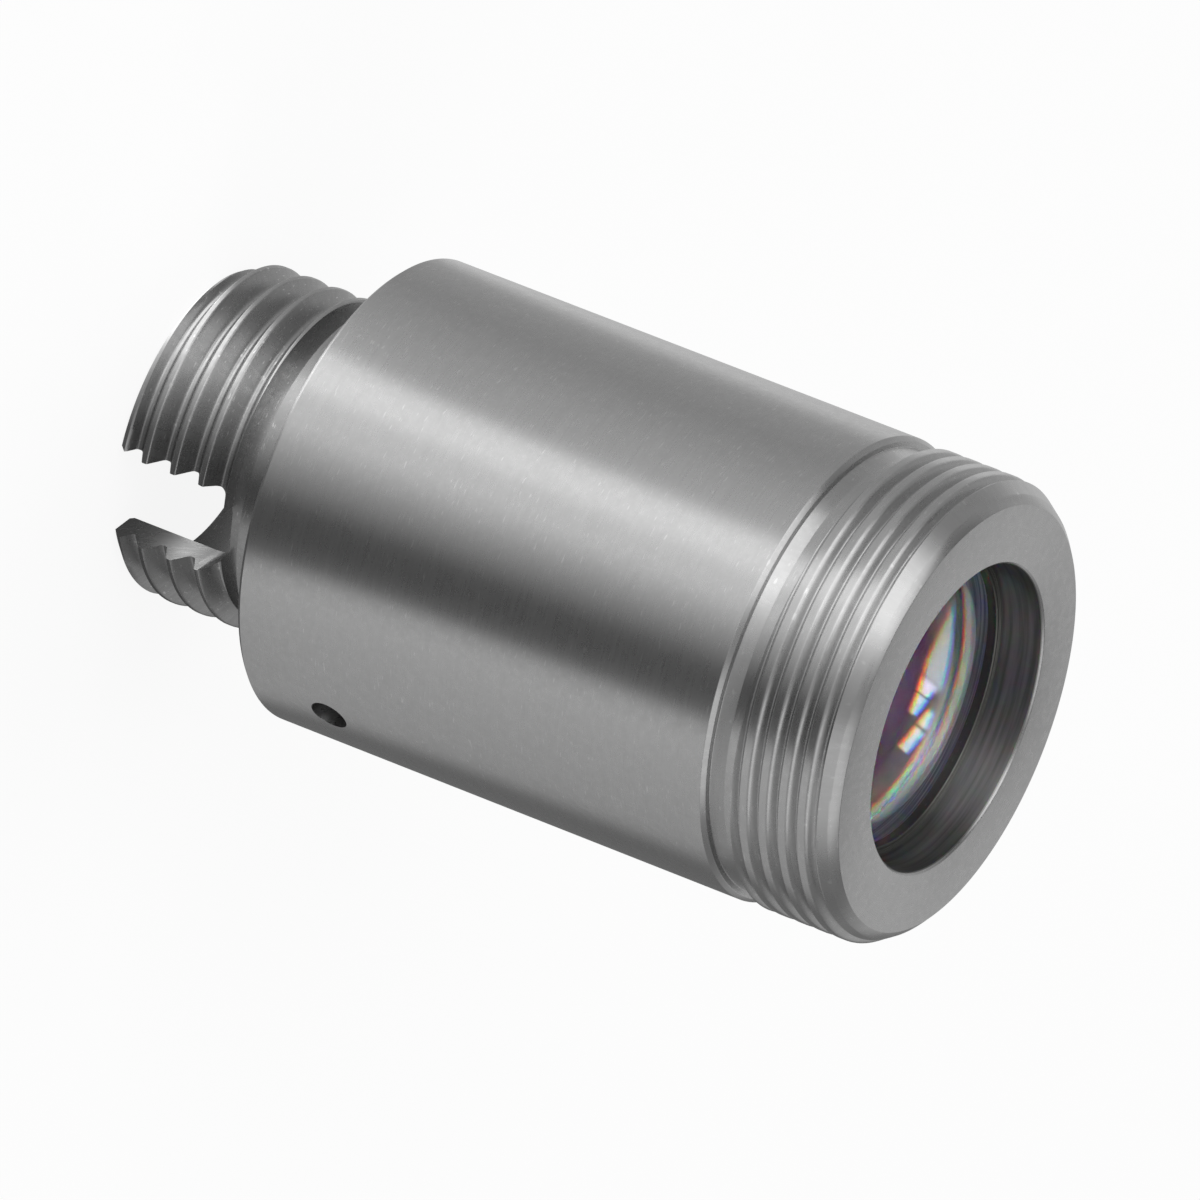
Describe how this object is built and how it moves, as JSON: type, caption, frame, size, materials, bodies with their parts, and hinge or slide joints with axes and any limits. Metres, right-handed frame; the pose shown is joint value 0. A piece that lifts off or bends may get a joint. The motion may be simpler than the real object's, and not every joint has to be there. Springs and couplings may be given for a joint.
{
  "type": "fibre collimator",
  "caption": "Short turned steel barrel that holds a glass lens at its fine-threaded end and takes a keyed, screw-on fibre connector at the other, to make a parallel beam.",
  "frame": {"origin": "on the optical axis at the receptacle's rim, which the part stands on", "axes": "+Z along the optical axis and out of the lens end, -Y through the keyslot"},
  "size_m": [0.011, 0.011, 0.0199],
  "materials": {
    "barrel_steel": "fine turned stainless steel, brushed round the axis",
    "nose_steel": "turned stainless steel with a cut thread",
    "sleeve_ceramic": "ground white ceramic",
    "lens_glass": "polished glass with a purple anti-reflection coating",
    "ring_steel": "darkened steel"
  },
  "bodies": {
    "root": {"housing": "barrel_steel", "fibre_receptacle": "nose_steel", "ferrule_sleeve": "sleeve_ceramic", "aspheric_lens": "lens_glass", "lens_retaining_ring": "ring_steel"}
  },
  "joints": []
}
